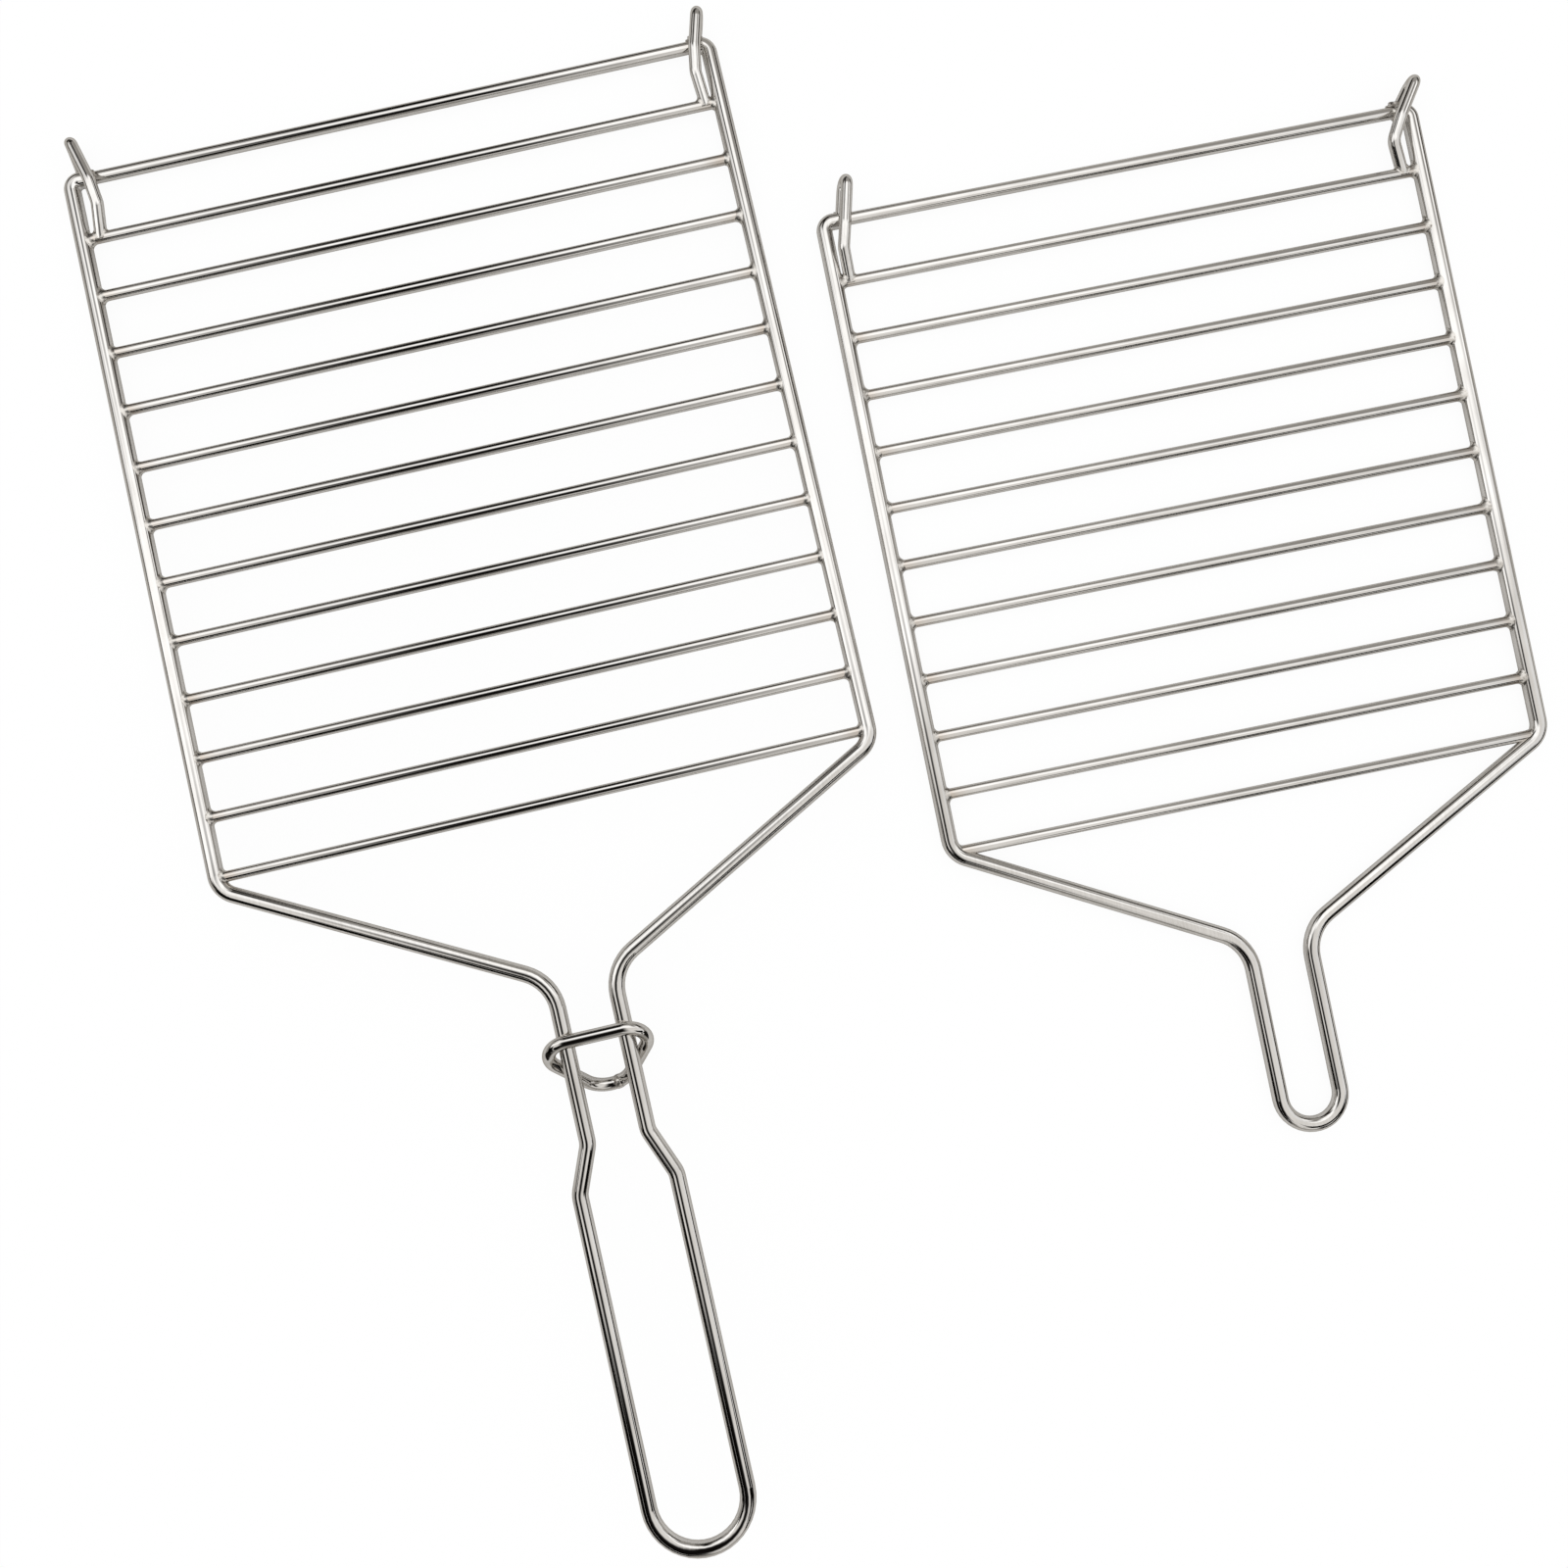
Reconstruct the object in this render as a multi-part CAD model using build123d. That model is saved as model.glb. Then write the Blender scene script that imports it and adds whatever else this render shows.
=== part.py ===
"""Campfire grill basket of bright steel wire, laid out as two separate grates beside each other.

The long grate is the base. It carries two standing hooks at its top corners, a long handle that ends
in a wide grip loop, and a lock ring that slides along the handle's narrow part. The short grate is the
lid. It has two hooks of its own and a short plain handle loop that the lock ring can be pushed over.

Every length is in millimetres. The ground is the plane z = 0, and the origin lies on it under the
middle of the base's top bar. +Y points from the handles towards the hooks, and +Z is up.
"""

import os
from math import asin, atan2, cos, degrees, hypot, radians, sin, sqrt, tan

from build123d import *

# Wire diameters
frame_wire = 6.0
top_wire = 4.5
rung_wire = 4.0
hook_wire = 4.5
ring_wire = 5.0

# Base grate, measured between wire centre lines: rails, first gap from the top bar, gap between the
# last rung and the shoulders, then the stretch from the shoulders to the neck
base_width = 244.0
base_rail = 271.2
base_rung_count = 12
base_first_gap = 23.0
base_last_gap = 4.55
base_taper = 59.3

# Base handle: its narrow part, the notch where it widens, and the grip loop
handle_width = 22.2
handle_straight = 60.0
notch_length = 17.0
grip_width = 35.8
grip_length = 131.3

# Lid grate and its handle loop, measured in the same way
lid_width = 227.6
lid_rail = 242.5
lid_rung_count = 11
lid_first_gap = 23.3
lid_last_gap = 0.4
lid_taper = 54.7
lid_handle_width = 22.8
lid_handle_length = 71.3

# Bend radii on the inner side of the wire
corner_bend = 0.6
shoulder_bend = 6.0
neck_bend = 14.0
notch_bend = 5.0
hook_bend = 3.0

# How far the bent frame wire runs in from its corner to meet the top bar
corner_stub = 6.0

# Where the lid lies: distance between the two facing rails, how far its top bar is set back, its turn
lid_apart = 27.2
lid_drop = 79.25
lid_turn = -1.5

# Lock ring: how steeply it lies, the slope of its side strands, and how far below the neck it rests
ring_incline = 45.0
ring_slope = 33.4
ring_bow = 10.0
ring_side_room = 1.4
ring_place = 22.0

# Gap between a moving wire and the wire that it passes
running_gap = 0.3

# Hooks: room between crest and top bar, knee and crest measured in from the top bar, and how much of
# the eye's end is a round bend
hook_crest = 1.9
hook_crest_place = 3.7
hook_knee_place = 12.0
hook_knee_rise = 4.6
eye_roundness = 0.97

# Each hook is bent by hand, so it has its own distances in from the rail's centre line at its foot,
# knee, crest, upper and lower side of the eye and tail, and its own reach past the top bar
base_left_bends = (6.8, 9.6, 9.0, 4.9, 3.4, 5.4)
base_left_reach = 12.2
base_right_bends = (5.8, 7.0, 5.5, 1.5, 1.5, 4.6)
base_right_reach = 10.4
lid_left_bends = (5.8, 5.4, 7.5, 11.6, 10.3, 7.0)
lid_left_reach = 13.0
lid_right_bends = (7.2, 10.4, 6.4, -1.9, -2.1, 4.7)
lid_right_reach = 8.9


def wire(path, diameter):
    """Round wire of one diameter bent along a path."""
    section = Plane(origin=path @ 0, z_dir=path % 0) * Circle(diameter / 2)
    return sweep(section, path=path)


def straight(start, end, diameter):
    """Round straight wire between two points."""
    return wire(Line(start, end), diameter)


def loop_path(left, bends, tip):
    """Wire path down the left side, round a half circle at the handle's tip and up the right side."""
    radii = [bend + frame_wire / 2 for bend in bends]
    end_x, end_y = left[-1]
    right = [(-x, y) for x, y in reversed(left)]
    down = FilletPolyline(*left, radius=radii)
    turn = ThreePointArc((end_x, end_y), (0, -tip), (-end_x, end_y))
    up = FilletPolyline(*right, radius=list(reversed(radii)))
    return Wire([*down.edges(), turn, *up.edges()])


def base_frame():
    """The base's frame wire: rails, shoulders, neck, notch and grip loop in one bent wire."""
    side = base_width / 2
    handle = handle_width / 2
    grip = grip_width / 2
    neck = base_rail + base_taper
    notch = neck + handle_straight
    tip = notch + notch_length + grip_length
    left = [
        (-side + corner_stub, 0),
        (-side, 0),
        (-side, -base_rail),
        (-handle, -neck),
        (-handle, -notch),
        (-grip, -notch - notch_length),
        (-grip, -tip + grip),
    ]
    bends = [corner_bend, shoulder_bend, neck_bend, notch_bend, notch_bend]
    return wire(loop_path(left, bends, tip), frame_wire)


def lid_frame():
    """The lid's frame wire: rails, shoulders, neck and a plain handle loop in one bent wire."""
    side = lid_width / 2
    handle = lid_handle_width / 2
    neck = lid_rail + lid_taper
    tip = neck + lid_handle_length
    left = [
        (-side + corner_stub, 0),
        (-side, 0),
        (-side, -lid_rail),
        (-handle, -neck),
        (-handle, -tip + handle),
    ]
    bends = [corner_bend, shoulder_bend, neck_bend]
    return wire(loop_path(left, bends, tip), frame_wire)


def top_bar(width):
    """Straight bar that closes the frame between its two bent-in ends."""
    end = width / 2 - corner_stub
    return straight((-end, 0), (end, 0), top_wire)


def rungs(width, first_gap, last, count, frame):
    """Evenly spaced straight rungs, each coped at both ends to sit against the rails."""
    end = width / 2
    pitch = (last - first_gap) / (count - 1)
    places = [-first_gap - i * pitch for i in range(count)]
    return [straight((-end, y), (end, y), rung_wire) - frame for y in places]


def hook(rail_x, first_gap, bends, reach, frame, bar, rung):
    """Hook from the first rung, over the top bar, round an eye and back to the bar's outer side."""
    side = 1 if rail_x > 0 else -1
    foot, knee, crest, eye_top, eye_foot, tail = [rail_x - side * inset for inset in bends]
    over = top_wire / 2 + hook_wire / 2 + hook_crest
    points = [
        (foot, -first_gap, 0),
        (knee, -hook_knee_place, hook_knee_rise),
        (crest, -hook_crest_place, over),
        (eye_top, reach, over),
        (eye_foot, reach, 0),
        (tail, 0, 0),
    ]
    soft = hook_bend + hook_wire / 2
    eye = eye_roundness * over / 2
    path = FilletPolyline(*points, radius=[soft, soft, eye, eye])
    return wire(path, hook_wire) - bar - rung - frame


def ring_shape():
    """Half width, end radius, tangent offset and reach of the ring, so that it clears both rails."""
    rise = frame_wire / 2 + ring_wire / 2 + running_gap
    rail = handle_width / 2
    slope = radians(ring_slope)
    tilt = sin(radians(ring_incline))
    half = rail + frame_wire / 2 + ring_side_room + ring_wire / 2
    under = (rise + rise * sqrt(1 + (tilt / tan(slope)) ** 2)) / tilt
    offset = rail * cos(slope) + under * sin(slope)
    end = (offset - half * cos(slope)) / (1 + sin(slope) - cos(slope))
    reach = (offset - ring_bow) / sin(slope) + ring_bow
    return half, end, rise, reach


def ring_distance():
    """Distance from the base's top bar to the ring's strand over the rails."""
    return base_rail + base_taper + ring_place


def lock_ring():
    """Closed ring: a straight strand over the rails and a bowed strand that passes under them."""
    half, end, rise, reach = ring_shape()
    slope = radians(ring_slope)
    centre = half - end
    on_end = (centre + end * cos(slope), -end - end * sin(slope))
    on_bow = (ring_bow * cos(slope), -reach + ring_bow - ring_bow * sin(slope))
    halfway = (slope - radians(90)) / 2
    mid_end = (centre + end * cos(halfway), -end - end * sin(halfway))
    strands = [
        Line((-centre, 0), (centre, 0)),
        ThreePointArc((centre, 0), mid_end, on_end),
        Line(on_end, on_bow),
        ThreePointArc(on_bow, (0, -reach), (-on_bow[0], on_bow[1])),
        Line((-on_bow[0], on_bow[1]), (-on_end[0], on_end[1])),
        ThreePointArc((-on_end[0], on_end[1]), (-mid_end[0], mid_end[1]), (-centre, 0)),
    ]
    ring = wire(Wire(strands), ring_wire)
    return Pos(0, -ring_distance(), rise) * Rot(X=ring_incline) * ring


def base_lean():
    """Angle of the base when its top corners and the ring's bow both touch the ground."""
    half, end, rise, reach = ring_shape()
    incline = radians(ring_incline)
    back = ring_distance() + reach * cos(incline)
    below = reach * sin(incline) - rise
    return degrees(atan2(below, back) + asin((ring_wire - frame_wire) / 2 / hypot(back, below)))


def grate(name, frame, bar, bars, hooks, place):
    """Names the pieces of one grate and puts them in their place."""
    pieces = {f"{name}_frame": frame, f"{name}_top_bar": bar}
    pieces |= {f"{name}_rung_{i:02}": rung for i, rung in enumerate(bars, 1)}
    pieces |= {f"{name}_hook_{side}": hook for side, hook in hooks.items()}
    return {node: place * piece for node, piece in pieces.items()}


def base_grate():
    """The base with its lock ring, leaning on the ring's bow."""
    frame = base_frame()
    bar = top_bar(base_width)
    last = base_rail - base_last_gap
    bars = rungs(base_width, base_first_gap, last, base_rung_count, frame)
    rail = base_width / 2
    carriers = (frame, bar, bars[0])
    hooks = {
        "left": hook(-rail, base_first_gap, base_left_bends, base_left_reach, *carriers),
        "right": hook(rail, base_first_gap, base_right_bends, base_right_reach, *carriers),
    }
    place = Pos(0, 0, frame_wire / 2) * Rot(X=-base_lean())
    pieces = grate("base", frame, bar, bars, hooks, place)
    pieces["lock_ring"] = place * lock_ring()
    return pieces


def lid_grate():
    """The lid, lying flat on the ground beside the base."""
    frame = lid_frame()
    bar = top_bar(lid_width)
    last = lid_rail - lid_last_gap
    bars = rungs(lid_width, lid_first_gap, last, lid_rung_count, frame)
    rail = lid_width / 2
    carriers = (frame, bar, bars[0])
    hooks = {
        "left": hook(-rail, lid_first_gap, lid_left_bends, lid_left_reach, *carriers),
        "right": hook(rail, lid_first_gap, lid_right_bends, lid_right_reach, *carriers),
    }
    beside = base_width / 2 + lid_apart + lid_width / 2
    place = Pos(beside, -lid_drop, frame_wire / 2) * Rot(Z=lid_turn)
    return grate("lid", frame, bar, bars, hooks, place)


def main():
    os.makedirs("parts", exist_ok=True)
    pieces = base_grate() | lid_grate()
    for node, piece in pieces.items():
        export_step(piece, f"parts/{node}.step")
    print("base lean", round(base_lean(), 3), "degrees")
    print("ring half width, end radius, rise, reach", [round(v, 2) for v in ring_shape()])


main()
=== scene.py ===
"""Looks of the campfire grill basket: bright wire finishes, weld fillets, a light tent and a camera.

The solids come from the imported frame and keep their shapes. This script gives every wire its finish,
adds the small welds that join the wires, and sets up the floor, the light and the camera.
"""

from math import atan2, cos, pi, radians, sin, sqrt
from random import Random

import bmesh
import bpy
from bpy.props import FloatProperty, FloatVectorProperty, PointerProperty
from mathutils import Matrix, Vector


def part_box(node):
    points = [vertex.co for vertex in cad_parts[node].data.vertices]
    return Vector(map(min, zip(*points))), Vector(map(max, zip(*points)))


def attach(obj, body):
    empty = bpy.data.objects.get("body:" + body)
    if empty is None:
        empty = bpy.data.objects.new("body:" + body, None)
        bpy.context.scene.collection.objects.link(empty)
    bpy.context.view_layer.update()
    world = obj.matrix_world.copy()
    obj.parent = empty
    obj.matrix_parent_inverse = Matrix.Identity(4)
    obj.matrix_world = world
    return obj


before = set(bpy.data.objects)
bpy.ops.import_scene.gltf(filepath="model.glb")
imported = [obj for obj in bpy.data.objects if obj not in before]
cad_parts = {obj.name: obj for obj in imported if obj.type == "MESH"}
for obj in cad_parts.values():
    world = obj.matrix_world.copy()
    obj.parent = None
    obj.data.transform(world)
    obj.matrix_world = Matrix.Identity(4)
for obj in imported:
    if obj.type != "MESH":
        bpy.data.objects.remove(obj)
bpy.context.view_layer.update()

bl_info = {
    "name": "Campfire grill basket looks",
    "version": (1, 0, 0),
    "blender": (4, 5, 0),
    "location": "View3D > Sidebar > Basket",
    "description": "Gives the wires, welds and stage of a wire grill basket their looks",
    "category": "Object",
}

MM = 0.001

# Wire radii, and how far the frames' bent ends run in to the top bars, in millimetres as in the solids
FRAME_RADIUS = 3.0
BAR_RADIUS = 2.25
RUNG_RADIUS = 2.0
HOOK_RADIUS = 2.25
RING_RADIUS = 2.5
CORNER_STUB = 6.0

# Each grate's half distance between its rails and the place of its top bar's middle, in millimetres,
# and its lean about X and turn about Z, in degrees
GRATES = ("base", "lid")
HALF = {"base": 122.0, "lid": 113.8}
PLACE = {"base": (0.0, 0.0, 3.0), "lid": (263.0, -79.25, 3.0)}
LEAN = {"base": -2.17, "lid": 0.0}
TURN = {"base": 0.0, "lid": -1.5}

# Lock ring: its distance from the top bar, its height over the base's wires, its reach and the radius
# of its bow, in millimetres, and its incline in degrees
RING_ALONG = 352.5
RING_ABOVE = 5.8
RING_REACH = 28.9
RING_BOW = 10.0
RING_INCLINE = 45.0

# The ring's butt weld: where it is on the bow and how much of the bow it takes, in degrees, how deep
# its ends lie in the wire, in millimetres, and how full its crown is
SEAM_AT = 17.0
SEAM_SPAN = 17.0
SEAM_SUNK = 0.05
SEAM_CROWN = 0.7

# Each hook: how far in from the rail its foot, knee and tail are, in millimetres, and how far along and
# up the wire goes from foot to knee
HOOKS = {
    "base_hook_left": (6.8, 9.6, 5.4),
    "base_hook_right": (5.8, 7.0, 4.6),
    "lid_hook_left": (5.8, 5.4, 7.0),
    "lid_hook_right": (7.2, 10.4, 4.7),
}
KNEE_RUN = 11.0
KNEE_RISE = 4.6

# Welds at the hooks' feet and tails: spread along and across the wire that carries them, and run along
# the hook. Those at the top bars' ends fill this share of the step up to the frame, and run this far.
FOOT_WELD = (1.3, 0.0, 1.5)
TAIL_WELD = (1.2, 0.3, 1.2)
BAR_WELD_FILL = 0.97
BAR_WELD_RUN = 1.3

# Every fillet: how far a spread may lie off centre and how tightly it starts on its wire, as shares,
# and how deep its rim goes into the wire that carries it, in millimetres
OFF_CENTRE = 0.12
TIGHT = 0.995
RIM_SUNK = 0.5

WELD_SIDES = 32
FILLET_STEPS = 7
SEAM_STEPS = 8

# Seeds of the welds' random draws
RUNG_LUCK = 12
BAR_LUCK = 5
HOOK_LUCK = 8

# Patterns, in repeats per metre: drawing lines, clouds of duller polish, burnt spots on the welds
LINES_ALONG = 25.0
LINES_ACROSS = 1400.0
CLOUDS = 65.0
SPOTS = 650.0

# Noise values between which a finish goes from its first look to its second
STREAK_NOISE = (0.12, 0.42)
DULL_NOISE = (0.1, 0.4)
BURNT_NOISE = (0.52, 0.74)

# Least and most roughness: of the wire as shares of its mean, and of the weld metal
WIRE_DULL = (0.7, 1.5)
WELD_DULL = (0.14, 0.36)

# Strength of the bumps, and their depth in millimetres
LINE_BUMP = (0.12, 0.05)
SPOT_BUMP = (0.35, 0.3)

WELD_METAL = "heat tinted weld metal"

# How much of the floor shows as pure white, to the camera and in a mirror
WHITE_SEEN = 0.94
WHITE_MIRRORED = 0.3
PAPER_ROUGHNESS = 0.9

TENT_MIDDLE = (0.1, -0.2)
TENT_SIDES = 64
SENSOR_WIDTH = 36.0
CLIP_START = 0.01

# A Mix node's colour sockets share their names with its number sockets, so they go by place
MIX_FIRST = 6
MIX_SECOND = 7
MIX_RESULT = 2


def to_linear(value):
    """sRGB channel, 0 to 1, as scene linear."""
    return value / 12.92 if value <= 0.04045 else ((value + 0.055) / 1.055) ** 2.4


def colour(code):
    """Linear RGBA colour for an sRGB hex value."""
    channels = [int(code.lstrip("#")[i:i + 2], 16) / 255 for i in (0, 2, 4)]
    return (*map(to_linear, channels), 1.0)


def add(tree, kind, inputs=(), **settings):
    """Adds a node with its settings. Each input is a plain value or another node's output."""
    made = tree.nodes.new(kind)
    for name, value in settings.items():
        setattr(made, name, value)
    for key, value in dict(inputs).items():
        if isinstance(value, bpy.types.NodeSocket):
            tree.links.new(value, made.inputs[key])
        else:
            made.inputs[key].default_value = value
    return made


def new_material(name):
    """Material without nodes, and its node tree."""
    material = bpy.data.materials.new(name)
    material.use_nodes = True
    material.node_tree.nodes.clear()
    return material, material.node_tree


def colour_property(name, description, code):
    """Colour setting that starts from an sRGB hex value."""
    return FloatVectorProperty(
        name=name, description=description, subtype="COLOR", size=4, min=0, max=1, default=colour(code),
    )


class BasketWireFinish(bpy.types.PropertyGroup):
    """Finish of the drawn and polished wire."""

    steel: colour_property("Steel", "Colour of the polished wire", "#DEDCD9")
    shade: colour_property("Shade", "Colour of the duller streaks", "#CBC8C4")
    heat: colour_property("Heat tint", "Colour of a wire's end beside its weld", "#B3A08C")
    edge: colour_property("Edge", "Colour of the wire where it turns away from the eye", "#D6D2CC")
    roughness: FloatProperty(
        name="Roughness", description="Mean roughness", subtype="FACTOR", default=0.05, min=0, max=1,
    )
    heat_reach: FloatProperty(
        name="Heat reach", description="How far the heat tint goes along a rung", unit="LENGTH",
        default=13 * MM,
    )


class BasketWelds(bpy.types.PropertyGroup):
    """Sizes and colours of the welds."""

    flare: FloatProperty(
        name="Flare", description="How far a weld spreads along the rail", unit="LENGTH",
        default=1.9 * MM,
    )
    rise: FloatProperty(
        name="Rise", description="How far a weld spreads over the rail", unit="LENGTH",
        default=0.55 * MM,
    )
    run: FloatProperty(
        name="Run", description="How far a weld runs along the rung", unit="LENGTH", default=2.1 * MM,
    )
    bead: FloatProperty(
        name="Bead", description="Height of the bead on the lock ring", unit="LENGTH",
        default=0.24 * MM,
    )
    uneven: FloatProperty(
        name="Unevenness", description="Share by which the welds differ", subtype="FACTOR",
        default=0.22, min=0, max=0.5,
    )
    metal: colour_property("Weld metal", "Colour of a clean weld", "#CFCBC5")
    burnt: colour_property("Burnt", "Colour of burnt spots", "#5F564D")


class BasketStudio(bpy.types.PropertyGroup):
    """Stage and camera."""

    floor_size: FloatProperty(
        name="Floor", description="Width of the floor", unit="LENGTH", default=8.0,
    )
    eye: FloatVectorProperty(
        name="Camera", description="Place of the camera", subtype="XYZ_LENGTH",
        default=(0.07543, -0.28819, 0.55279),
    )
    look: FloatVectorProperty(
        name="Look", description="Viewing direction", subtype="DIRECTION",
        default=(0.02192, 0.0167, -0.99962),
    )
    up: FloatVectorProperty(
        name="Up", description="Direction that is upright in the picture", subtype="DIRECTION",
        default=(0.22414, 0.97433, 0.02119),
    )
    lens: FloatProperty(name="Lens", description="Focal length", unit="CAMERA", default=33.75)
    tent_width: FloatProperty(
        name="Tent", description="Width of the light tent", unit="LENGTH", default=4.0,
    )
    roof_height: FloatProperty(
        name="Roof", description="Height of the tent's roof", unit="LENGTH", default=0.62,
    )
    roof_light: FloatProperty(
        name="Roof light", description="Brightness of the tent's roof", default=1.48,
    )


def steel_material(name, grate, along, heated=0.0):
    """Stainless steel wire, cold drawn and then polished: bright, with fine lines along the wire.

    The pattern lies in the grate's own frame, and `along` is the wire's direction there. A heated wire
    is tinted straw brown within the heat's reach of the rail, which lies at `heated` from the middle.
    """
    finish = bpy.context.scene.basket_finish
    material, tree = new_material(name)
    where = add(tree, "ShaderNodeTexCoord")
    flat = add(tree, "ShaderNodeMapping", {
        "Vector": where.outputs["Object"], "Location": [value * MM for value in PLACE[grate]],
        "Rotation": (radians(LEAN[grate]), 0.0, radians(TURN[grate])),
    }, vector_type="TEXTURE")
    # Real drawing lines are a few hundredths of a millimetre apart, drawn 0.7 mm apart here to show
    stretch = [LINES_ALONG if axis == along else LINES_ACROSS for axis in "XYZ"]
    lines = add(tree, "ShaderNodeMapping", {"Vector": flat.outputs["Vector"], "Scale": stretch})
    drawn = add(tree, "ShaderNodeTexNoise", {
        "Vector": lines.outputs["Vector"], "Scale": 1.0, "Detail": 3.0,
    })
    # Clouds about 15 mm long, where the polish is a little duller
    cloud = add(tree, "ShaderNodeTexNoise", {
        "Vector": flat.outputs["Vector"], "Scale": CLOUDS, "Detail": 4.0,
    })
    both = add(tree, "ShaderNodeMath", {
        0: drawn.outputs["Fac"], 1: cloud.outputs["Fac"],
    }, operation="MULTIPLY")
    streak = add(tree, "ShaderNodeMapRange", {
        "Value": both.outputs["Value"], "From Min": STREAK_NOISE[0], "From Max": STREAK_NOISE[1],
    })
    tint = add(tree, "ShaderNodeMix", {
        "Factor": streak.outputs["Result"], MIX_FIRST: finish.steel, MIX_SECOND: finish.shade,
    }, data_type="RGBA")
    face = tint.outputs[MIX_RESULT]
    if heated:
        axes = add(tree, "ShaderNodeSeparateXYZ", {"Vector": flat.outputs["Vector"]})
        out = add(tree, "ShaderNodeMath", {0: axes.outputs["X"]}, operation="ABSOLUTE")
        near = add(tree, "ShaderNodeMapRange", {
            "Value": out.outputs["Value"], "From Min": heated - finish.heat_reach, "From Max": heated,
        }, interpolation_type="SMOOTHSTEP")
        burnt = add(tree, "ShaderNodeMath", {
            0: near.outputs["Result"], 1: cloud.outputs["Fac"],
        }, operation="MULTIPLY")
        warm = add(tree, "ShaderNodeMix", {
            "Factor": burnt.outputs["Value"], MIX_FIRST: face, MIX_SECOND: finish.heat,
        }, data_type="RGBA")
        face = warm.outputs[MIX_RESULT]
    dull = add(tree, "ShaderNodeMapRange", {
        "Value": both.outputs["Value"], "From Min": DULL_NOISE[0], "From Max": DULL_NOISE[1],
        "To Min": finish.roughness * WIRE_DULL[0], "To Max": finish.roughness * WIRE_DULL[1],
    })
    bump = add(tree, "ShaderNodeBump", {
        "Height": drawn.outputs["Fac"], "Strength": LINE_BUMP[0], "Distance": LINE_BUMP[1] * MM,
    })
    shader = add(tree, "ShaderNodeBsdfPrincipled", {
        "Base Color": face, "Metallic": 1.0, "Roughness": dull.outputs["Result"],
        "Specular Tint": list(finish.edge), "Normal": bump.outputs["Normal"],
    })
    add(tree, "ShaderNodeOutputMaterial", {"Surface": shader.outputs["BSDF"]})
    return material


def weld_material():
    """Stainless weld metal as it set: satin, with brown heat tint and small burnt spots."""
    welds = bpy.context.scene.basket_welds
    material, tree = new_material(WELD_METAL)
    where = add(tree, "ShaderNodeTexCoord")
    # Burnt spots about 1.5 mm across
    spots = add(tree, "ShaderNodeTexNoise", {
        "Vector": where.outputs["Object"], "Scale": SPOTS, "Detail": 3.0,
    })
    share = add(tree, "ShaderNodeMapRange", {
        "Value": spots.outputs["Fac"], "From Min": BURNT_NOISE[0], "From Max": BURNT_NOISE[1],
    })
    tint = add(tree, "ShaderNodeMix", {
        "Factor": share.outputs["Result"], MIX_FIRST: welds.metal, MIX_SECOND: welds.burnt,
    }, data_type="RGBA")
    dull = add(tree, "ShaderNodeMapRange", {
        "Value": spots.outputs["Fac"], "To Min": WELD_DULL[0], "To Max": WELD_DULL[1],
    })
    bump = add(tree, "ShaderNodeBump", {
        "Height": spots.outputs["Fac"], "Strength": SPOT_BUMP[0], "Distance": SPOT_BUMP[1] * MM,
    })
    shader = add(tree, "ShaderNodeBsdfPrincipled", {
        "Base Color": tint.outputs[MIX_RESULT], "Metallic": 1.0, "Roughness": dull.outputs["Result"],
        "Normal": bump.outputs["Normal"],
    })
    add(tree, "ShaderNodeOutputMaterial", {"Surface": shader.outputs["BSDF"]})
    return material


def weld_metal():
    """The weld material, made once."""
    return bpy.data.materials.get(WELD_METAL) or weld_material()


def grate_place(grate):
    """Where a grate lies: its turn, its lean and its place in the row frame."""
    turned = Matrix.Rotation(radians(TURN[grate]), 4, "Z")
    leaned = Matrix.Rotation(radians(LEAN[grate]), 4, "X")
    return Matrix.Translation(Vector(PLACE[grate]) * MM) @ turned @ leaned


def grate_axes(grate):
    """Unit vectors across, along and up from a grate, in the row frame."""
    return grate_place(grate).to_3x3().transposed()


def middle(node):
    """Centre of a node's box."""
    low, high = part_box(node)
    return (low + high) / 2


def to_surface(offset, along, axis, radius):
    """Distance from a point beside a wire's axis to the wire's surface, going along `along`."""
    beside = offset - offset.dot(axis) * axis
    going = along - along.dot(axis) * axis
    a, b, c = going.dot(going), beside.dot(going), beside.dot(beside) - radius * radius
    return (-b + sqrt(max(b * b - a * c, 0.0))) / a


def end_disc(bm, radius, matrix):
    """Round face that a weld starts from, with its vertices."""
    made = bmesh.ops.create_circle(bm, cap_ends=True, segments=WELD_SIDES, radius=radius, matrix=matrix)
    return made["verts"][0].link_faces[0], made["verts"]


def grow(bm, face, through):
    """Extrudes a weld's end face. What is left behind stays only where it closes the weld's start."""
    grown = bmesh.ops.extrude_face_region(bm, geom=[face])["geom"]
    if through and face.is_valid:
        bmesh.ops.delete(bm, geom=[face], context="FACES_ONLY")
    verts = [item for item in grown if isinstance(item, bmesh.types.BMVert)]
    return next(item for item in grown if isinstance(item, bmesh.types.BMFace)), verts


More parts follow.
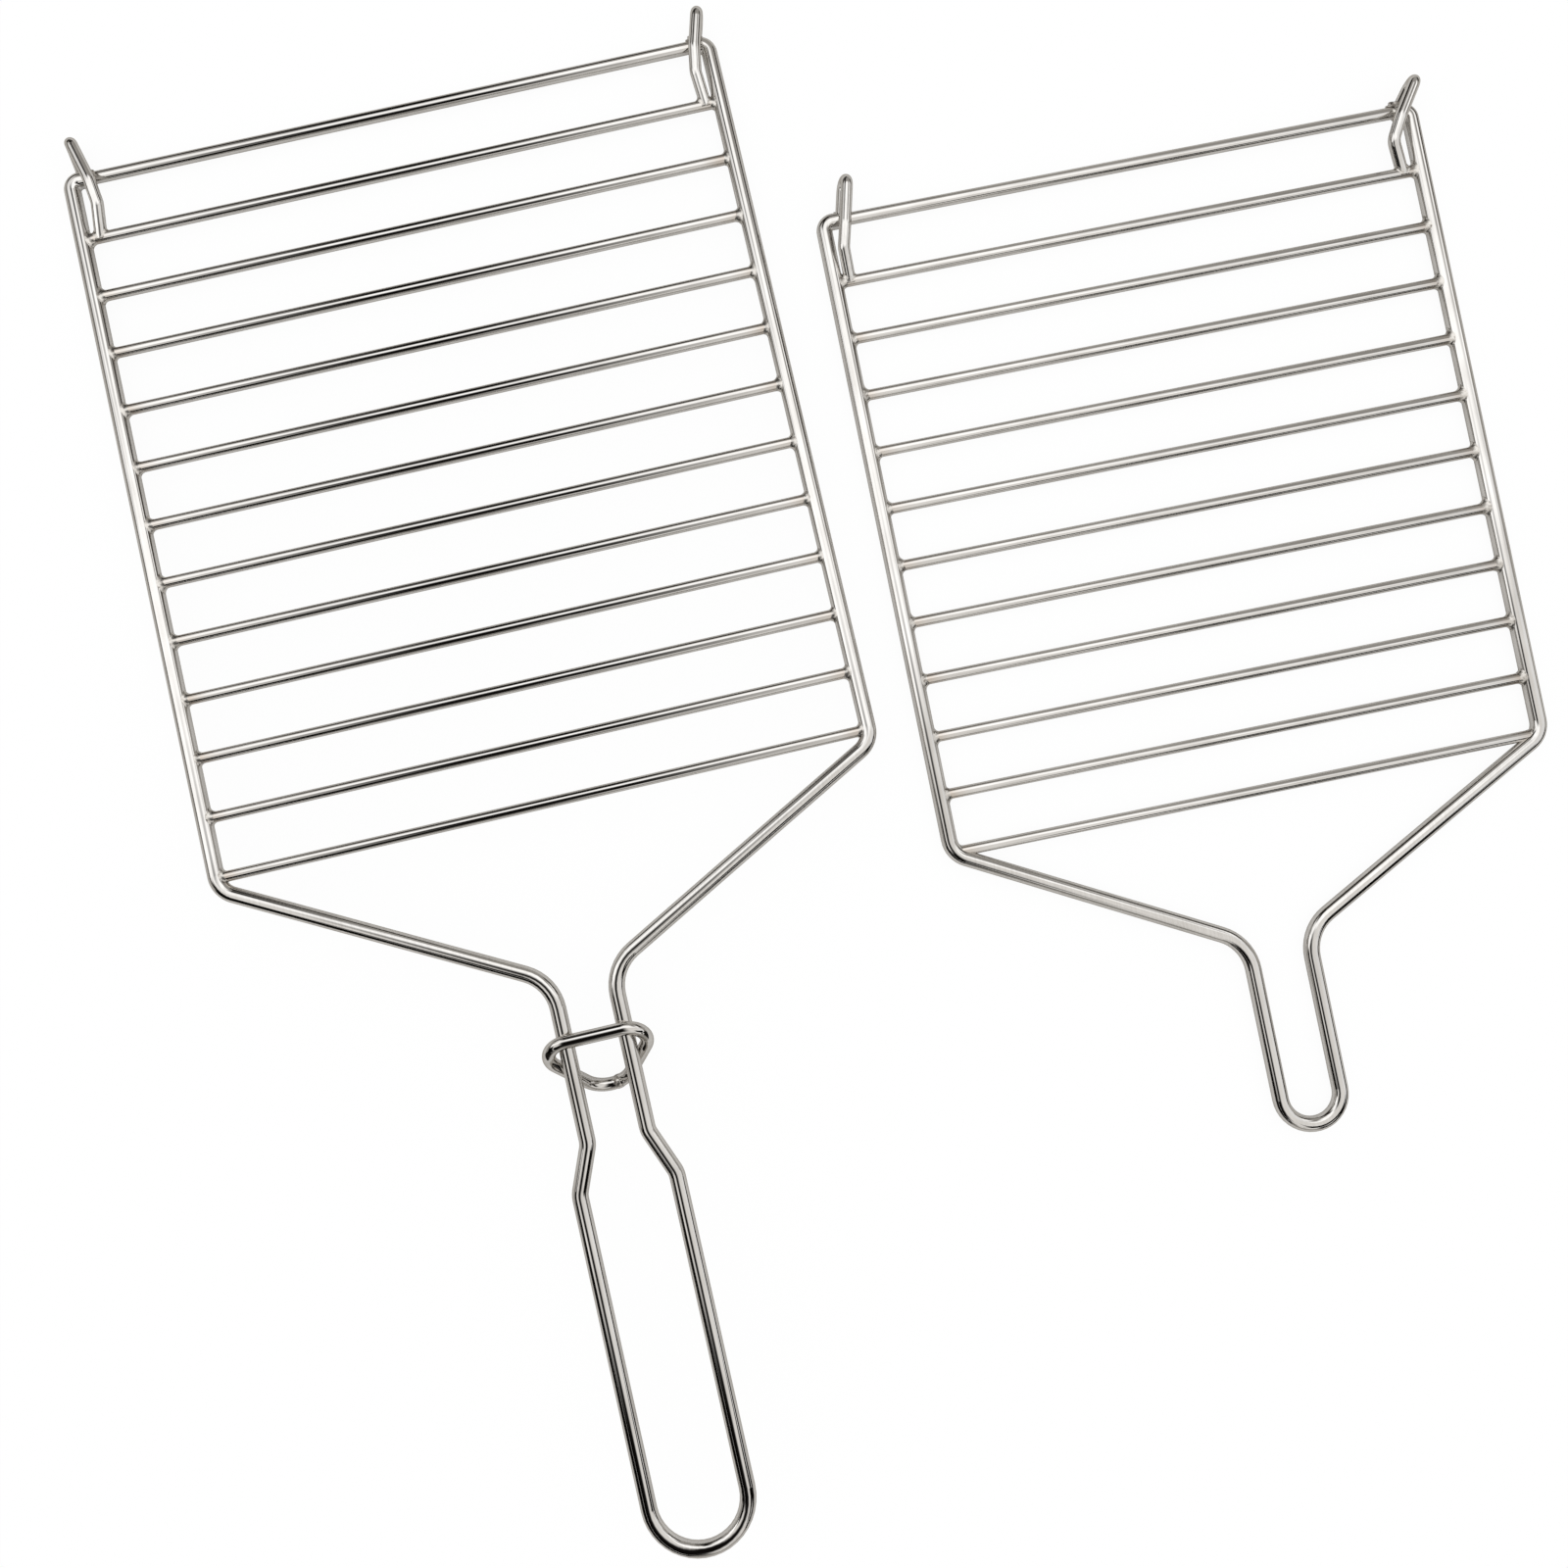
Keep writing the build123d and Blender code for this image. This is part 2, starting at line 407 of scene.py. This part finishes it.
def add_fillet(bm, foot, along, axis, carrier, wire, sizes, luck):
    """Weld fillet where a wire of radius `wire` runs along `along` away from its foot on a carrier.

    The carrier is a wire with its own axis and radius, or a flat end face if its radius is 0. The sizes
    are the fillet's spread along the carrier, its spread across it and its run along the wire.
    """
    *spread, run = sizes
    first = (axis - axis.dot(along) * along).normalized()
    second = along.cross(first)
    shift = luck.uniform(-OFF_CENTRE, OFF_CENTRE)
    spot = Matrix.Translation(foot) @ Matrix((first, second, along)).transposed().to_4x4()
    face, verts = end_disc(bm, wire, spot)
    wide = (wire, wire)
    for step in range(FILLET_STEPS + 2):
        turn = min(step / FILLET_STEPS, 1.0) * pi / 2
        outward = [vert.co - foot for vert in verts]
        angles = [atan2(out.dot(second) / wide[1], out.dot(first) / wide[0]) for out in outward]
        wide = [wire * TIGHT + size * (1 - cos(turn)) for size in spread]
        sunk = 0.0 if step <= FILLET_STEPS else RIM_SUNK * MM
        for vert, angle in zip(verts, angles):
            lean = 1 + shift * cos(angle) * sin(turn)
            offset = first * wide[0] * cos(angle) * lean + second * wide[1] * sin(angle)
            reach = to_surface(offset, along, axis, carrier) if carrier else 0.0
            vert.co = foot + offset + along * (reach + run * (1 - sin(turn)) - sunk)
        if step <= FILLET_STEPS:
            face, verts = grow(bm, face, step > 0)


def piece_from(bm, name, material, body):
    """Makes a smooth piece from a bmesh and lets it ride on a body."""
    bmesh.ops.recalc_face_normals(bm, faces=bm.faces)
    mesh = bpy.data.meshes.new(name)
    bm.to_mesh(mesh)
    bm.free()
    mesh.shade_smooth()
    mesh.materials.append(material)
    piece = bpy.data.objects.new(name, mesh)
    bpy.context.scene.collection.objects.link(piece)
    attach(piece, body)
    return piece


class BASKET_OT_wires(bpy.types.Operator):
    """Gives every wire of the basket its finish"""

    bl_idname = "basket.wires"
    bl_label = "Finish wires"

    def execute(self, context):
        finishes = {"lock_ring": steel_material("ring of bright drawn steel", "base", "X")}
        for grate in GRATES:
            rod = steel_material(
                grate + " drawn steel rod, heat tinted at its ends", grate, "X", HALF[grate] * MM,
            )
            wire = steel_material(grate + " bright drawn steel wire", grate, "Y")
            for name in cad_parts:
                if name.startswith(grate):
                    finishes[name] = rod if "_rung" in name or "_bar" in name else wire
        for name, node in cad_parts.items():
            node.data.materials.clear()
            node.data.materials.append(finishes[name])
        return {"FINISHED"}


class BASKET_OT_rung_welds(bpy.types.Operator):
    """Welds the rungs' ends to the rails"""

    bl_idname = "basket.rung_welds"
    bl_label = "Weld rungs"

    def execute(self, context):
        welds = context.scene.basket_welds
        luck = Random(RUNG_LUCK)
        for grate in GRATES:
            across, along, _ = grate_axes(grate)
            bm = bmesh.new()
            for node in sorted(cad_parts):
                if not node.startswith(grate + "_rung"):
                    continue
                for side in (-1, 1):
                    sizes = [
                        size * (1 + luck.uniform(-welds.uneven, welds.uneven))
                        for size in (welds.flare, welds.rise, welds.run)
                    ]
                    foot = middle(node) + across * side * HALF[grate] * MM
                    add_fillet(
                        bm, foot, -side * across, along, FRAME_RADIUS * MM, RUNG_RADIUS * MM, sizes,
                        luck,
                    )
            piece_from(bm, grate + "_rung_welds", weld_metal(), grate)
        return {"FINISHED"}


class BASKET_OT_bar_welds(bpy.types.Operator):
    """Welds the top bars to the frames' bent ends"""

    bl_idname = "basket.bar_welds"
    bl_label = "Weld top bars"

    def execute(self, context):
        luck = Random(BAR_LUCK)
        spread = (FRAME_RADIUS - BAR_RADIUS) * BAR_WELD_FILL * MM
        sizes = (spread, spread, BAR_WELD_RUN * MM)
        for grate in GRATES:
            across, along, _ = grate_axes(grate)
            bm = bmesh.new()
            for side in (-1, 1):
                foot = middle(grate + "_top_bar") + across * side * (HALF[grate] - CORNER_STUB) * MM
                add_fillet(bm, foot, -side * across, along, 0.0, BAR_RADIUS * MM, sizes, luck)
            piece_from(bm, grate + "_bar_welds", weld_metal(), grate)
        return {"FINISHED"}


class BASKET_OT_hook_welds(bpy.types.Operator):
    """Welds the hooks to the first rungs and the top bars"""

    bl_idname = "basket.hook_welds"
    bl_label = "Weld hooks"

    def execute(self, context):
        luck = Random(HOOK_LUCK)
        foot_sizes = [size * MM for size in FOOT_WELD]
        tail_sizes = [size * MM for size in TAIL_WELD]
        for grate in GRATES:
            across, along, up = grate_axes(grate)
            bm = bmesh.new()
            for name, (foot_in, knee_in, tail_in) in HOOKS.items():
                if not name.startswith(grate):
                    continue
                side = -1 if name.endswith("left") else 1
                foot = middle(grate + "_rung_01") + across * side * (HALF[grate] - foot_in) * MM
                run = across * side * (foot_in - knee_in) + along * KNEE_RUN + up * KNEE_RISE
                add_fillet(
                    bm, foot, run.normalized(), across, RUNG_RADIUS * MM, HOOK_RADIUS * MM, foot_sizes,
                    luck,
                )
                tail = middle(grate + "_top_bar") + across * side * (HALF[grate] - tail_in) * MM
                carrier = FRAME_RADIUS if tail_in < CORNER_STUB else BAR_RADIUS
                add_fillet(bm, tail, along, across, carrier * MM, HOOK_RADIUS * MM, tail_sizes, luck)
            piece_from(bm, grate + "_hook_welds", weld_metal(), grate)
        return {"FINISHED"}


class BASKET_OT_ring_seam(bpy.types.Operator):
    """Closes the lock ring with a butt weld on its bow"""

    bl_idname = "basket.ring_seam"
    bl_label = "Weld ring"

    def execute(self, context):
        bead = context.scene.basket_welds.bead
        bow = (
            grate_place("base") @ Matrix.Translation((0, -RING_ALONG * MM, RING_ABOVE * MM))
            @ Matrix.Rotation(radians(RING_INCLINE), 4, "X")
            @ Matrix.Translation((0, (RING_BOW - RING_REACH) * MM, 0))
        )
        section = Matrix.Translation((0, -RING_BOW * MM, 0)) @ Matrix.Rotation(pi / 2, 4, "Y")
        bm = bmesh.new()
        for step in range(SEAM_STEPS + 1):
            share = step / SEAM_STEPS
            turned = Matrix.Rotation(radians(SEAM_AT + (share - 0.5) * SEAM_SPAN), 4, "Z")
            crown = (bead + SEAM_SUNK * MM) * sin(share * pi) ** SEAM_CROWN
            radius = (RING_RADIUS - SEAM_SUNK) * MM + crown
            spot = bow @ turned @ section @ Matrix.Scale(radius, 4)
            if step == 0:
                face, _ = end_disc(bm, 1.0, spot)
            else:
                face, verts = grow(bm, face, step > 1)
                bmesh.ops.transform(bm, matrix=spot @ before.inverted(), verts=verts)
            before = spot
        piece_from(bm, "ring_seam", weld_metal(), "ring")
        return {"FINISHED"}


def soft_step(tree, value, low, high, soft):
    """1 between low and high, 0 outside, with soft edges."""
    rise = add(tree, "ShaderNodeMapRange", {
        "Value": value, "From Min": low - soft, "From Max": low + soft,
    }, interpolation_type="SMOOTHSTEP")
    fall = add(tree, "ShaderNodeMapRange", {
        "Value": value, "From Min": high + soft, "From Max": high - soft,
    }, interpolation_type="SMOOTHSTEP")
    both = add(tree, "ShaderNodeMath", {
        0: rise.outputs["Result"], 1: fall.outputs["Result"],
    }, operation="MULTIPLY")
    return both.outputs["Value"]


# The light tent as the wires mirror it: white cloth with greyer cloth at its back and sides, black
# flags and the dark camera between them. Each patch lies over the ones before it. A patch has its place
# along X and along Y in metres, the softness of its edges in X and in Y, and its colour.
ROOF_PATCHES = (
    ((-3.0, 3.0), (0.42, 3.0), 0.10, 0.11, "#A8A5A1"),
    ((-0.25, 0.00), (0.22, 2.2), 0.09, 0.17, "#060504"),
    ((-0.55, 0.17), (0.95, 2.5), 0.04, 0.11, "#12100E"),
    ((-3.0, 3.0), (-3.0, -0.22), 0.10, 0.05, "#FAF8F5"),
    ((-0.60, -0.11), (-3.0, -0.63), 0.04, 0.06, "#060504"),
    ((-1.94, -0.64), (-1.84, -0.27), 0.04, 0.09, "#060504"),
    ((-0.26, 0.09), (-1.03, -0.16), 0.11, 0.17, "#12100F"),
    ((0.66, 2.23), (-1.16, -0.09), 0.09, 0.08, "#FFFFFF"),
    ((0.34, 1.18), (-1.27, -0.79), 0.08, 0.03, "#060504"),
    ((-3.0, -1.90), (-3.0, -1.20), 0.08, 0.15, "#BAB7B3"),
    ((1.10, 3.0), (-3.0, -1.12), 0.04, 0.04, "#060504"),
    ((-3.0, -1.26), (-0.40, 3.0), 0.04, 0.11, "#060504"),
    ((1.33, 3.0), (-0.26, 3.0), 0.04, 0.04, "#ACA9A5"),
    ((0.59, 0.87), (-1.90, -1.37), 0.04, 0.07, "#14120F"),
    ((-0.35, 0.26), (-1.93, -1.32), 0.06, 0.08, "#7D7A76"),
    ((-0.94, -0.47), (0.14, 0.99), 0.06, 0.05, "#FFFFFF"),
    ((0.50, 0.88), (-0.03, 0.55), 0.17, 0.20, "#94918D"),
    ((-0.08, 0.22), (-2.03, -1.36), 0.20, 0.08, "#FDFBF8"),
)
WALL_PATCHES = (
    ((-2.4, -0.55), (-2.4, -0.75), 0.10, 0.10, "#1E1C1A"),
    ((0.75, 2.4), (-2.4, -0.75), 0.10, 0.10, "#1E1C1A"),
    ((-1.3, 0.6), (1.2, 2.4), 0.10, 0.10, "#413E3A"),
    ((1.5, 2.4), (0.3, 1.2), 0.10, 0.10, "#413E3A"),
)


def tent_material(name, light, patches):
    """Cloth of the light tent, glowing by itself, with greyer cloth and black flags laid over it."""
    material, tree = new_material(name)
    where = add(tree, "ShaderNodeTexCoord")
    axes = add(tree, "ShaderNodeSeparateXYZ", {"Vector": where.outputs["Object"]})
    below = light
    for in_x, in_y, soft_x, soft_y, shade in patches:
        across = soft_step(tree, axes.outputs["X"], *in_x, soft_x)
        along = soft_step(tree, axes.outputs["Y"], *in_y, soft_y)
        share = add(tree, "ShaderNodeMath", {0: across, 1: along}, operation="MULTIPLY")
        patch = add(tree, "ShaderNodeMix", {
            "Factor": share.outputs["Value"], MIX_FIRST: below, MIX_SECOND: colour(shade),
        }, data_type="RGBA")
        below = patch.outputs[MIX_RESULT]
    glow = add(tree, "ShaderNodeEmission", {"Color": below})
    add(tree, "ShaderNodeOutputMaterial", {"Surface": glow.outputs["Emission"]})
    return material


def floor_material():
    """Matt white paper: it shows pure white and still takes a soft shadow.

    In the wires it is mirrored with a painted shade: a light grey paper, standing for the dimmer paper
    beside the wires, with some of that white.
    """
    material, tree = new_material("matt white paper")
    rays = add(tree, "ShaderNodeLightPath")
    # Painted shade: to every ray but the camera's the paper is light grey, which stands for the shade
    # on the paper next to the wires
    paper_white_or_painted_shade = add(tree, "ShaderNodeMix", {
        "Factor": rays.outputs["Is Camera Ray"], MIX_FIRST: colour("#C2BFBA"),
        MIX_SECOND: colour("#FFFFFF"),
    }, data_type="RGBA")
    paper = add(tree, "ShaderNodeBsdfPrincipled", {
        "Base Color": paper_white_or_painted_shade.outputs[MIX_RESULT], "Roughness": PAPER_ROUGHNESS,
    })
    glow = add(tree, "ShaderNodeEmission", {"Color": colour("#FFFFFF"), "Strength": 1.0})
    mirrored = add(tree, "ShaderNodeMath", {
        0: rays.outputs["Is Glossy Ray"], 1: rays.outputs["Is Transmission Ray"],
    }, operation="MAXIMUM")
    seen = add(tree, "ShaderNodeMath", {
        0: rays.outputs["Is Camera Ray"], 1: WHITE_SEEN,
    }, operation="MULTIPLY")
    share = add(tree, "ShaderNodeMath", {
        0: mirrored.outputs["Value"], 1: WHITE_MIRRORED, 2: seen.outputs["Value"],
    }, operation="MULTIPLY_ADD")
    mix = add(tree, "ShaderNodeMixShader", {
        "Fac": share.outputs["Value"], 1: paper.outputs["BSDF"], 2: glow.outputs["Emission"],
    })
    add(tree, "ShaderNodeOutputMaterial", {"Surface": mix.outputs["Shader"]})
    return material


def stage_piece(name, bm, material):
    """Makes a stage object from a bmesh."""
    mesh = bpy.data.meshes.new(name)
    bm.to_mesh(mesh)
    bm.free()
    piece = bpy.data.objects.new(name, mesh)
    bpy.context.scene.collection.objects.link(piece)
    mesh.materials.append(material)
    return piece


class BASKET_OT_stage(bpy.types.Operator):
    """Sets up the floor, the light and the camera"""

    bl_idname = "basket.stage"
    bl_label = "Set the stage"

    def execute(self, context):
        studio = context.scene.basket_studio
        context.scene.view_settings.view_transform = "Standard"
        bm = bmesh.new()
        bmesh.ops.create_grid(bm, x_segments=1, y_segments=1, size=studio.floor_size / 2)
        stage_piece("floor", bm, floor_material())

        # Roof and wall of the light tent, which only mirrored rays see
        half_width = studio.tent_width / 2
        raised = Matrix.Translation((*TENT_MIDDLE, studio.roof_height))
        bm = bmesh.new()
        bmesh.ops.create_grid(bm, x_segments=1, y_segments=1, size=half_width, matrix=raised)
        light = [studio.roof_light] * 3 + [1.0]
        roof = stage_piece("tent_roof", bm, tent_material("lit white tent cloth", light, ROOF_PATCHES))
        standing = Matrix.Translation((*TENT_MIDDLE, studio.roof_height / 2))
        bm = bmesh.new()
        bmesh.ops.create_cone(
            bm, segments=TENT_SIDES, radius1=half_width, radius2=half_width, depth=studio.roof_height,
            matrix=standing,
        )
        dim = tent_material("dim tent wall", colour("#A5A29D"), WALL_PATCHES)
        wall = stage_piece("tent_wall", bm, dim)
        for card in (roof, wall):
            card.visible_camera = False
            card.visible_diffuse = False
            card.visible_shadow = False

        world = bpy.data.worlds.new("white room")
        context.scene.world = world
        world.use_nodes = True
        tree = world.node_tree
        tree.nodes.clear()
        sky = add(tree, "ShaderNodeBackground", {"Color": colour("#FFFFFF"), "Strength": 1.0})
        add(tree, "ShaderNodeOutputWorld", {"Surface": sky.outputs["Background"]})

        camera = bpy.data.cameras.new("camera")
        camera.lens = studio.lens
        camera.sensor_width = SENSOR_WIDTH
        camera.clip_start = CLIP_START
        eye = bpy.data.objects.new("camera", camera)
        look = Vector(studio.look).normalized()
        up = (Vector(studio.up) - Vector(studio.up).dot(look) * look).normalized()
        facing = Matrix((look.cross(up), up, -look)).transposed().to_4x4()
        eye.matrix_world = Matrix.Translation(Vector(studio.eye)) @ facing
        context.scene.collection.objects.link(eye)
        context.scene.camera = eye
        return {"FINISHED"}


class BASKET_PT_panel(bpy.types.Panel):
    """Lists the steps and the settings"""

    bl_label = "Basket"
    bl_space_type = "VIEW_3D"
    bl_region_type = "UI"
    bl_category = "Basket"

    def draw(self, context):
        for step in STEPS:
            self.layout.operator(step)
        for name, group in SETTINGS.items():
            box = self.layout.box()
            for setting in group.__annotations__:
                box.prop(getattr(context.scene, name), setting)


STEPS = (
    "basket.wires", "basket.rung_welds", "basket.bar_welds", "basket.hook_welds", "basket.ring_seam",
    "basket.stage",
)
CLASSES = (
    BasketWireFinish, BasketWelds, BasketStudio, BASKET_OT_wires, BASKET_OT_rung_welds,
    BASKET_OT_bar_welds, BASKET_OT_hook_welds, BASKET_OT_ring_seam, BASKET_OT_stage, BASKET_PT_panel,
)
SETTINGS = {
    "basket_finish": BasketWireFinish, "basket_welds": BasketWelds, "basket_studio": BasketStudio,
}


def register():
    """Registers the classes and puts the settings on the scene."""
    for item in CLASSES:
        bpy.utils.register_class(item)
    for name, group in SETTINGS.items():
        setattr(bpy.types.Scene, name, PointerProperty(type=group))


def unregister():
    """Takes the settings off the scene and the classes out again."""
    for name in SETTINGS:
        delattr(bpy.types.Scene, name)
    for item in reversed(CLASSES):
        bpy.utils.unregister_class(item)


def main():
    """Runs the steps in order."""
    register()
    for step in STEPS:
        space, name = step.split(".")
        getattr(getattr(bpy.ops, space), name)()


if __name__ == "__main__":
    main()
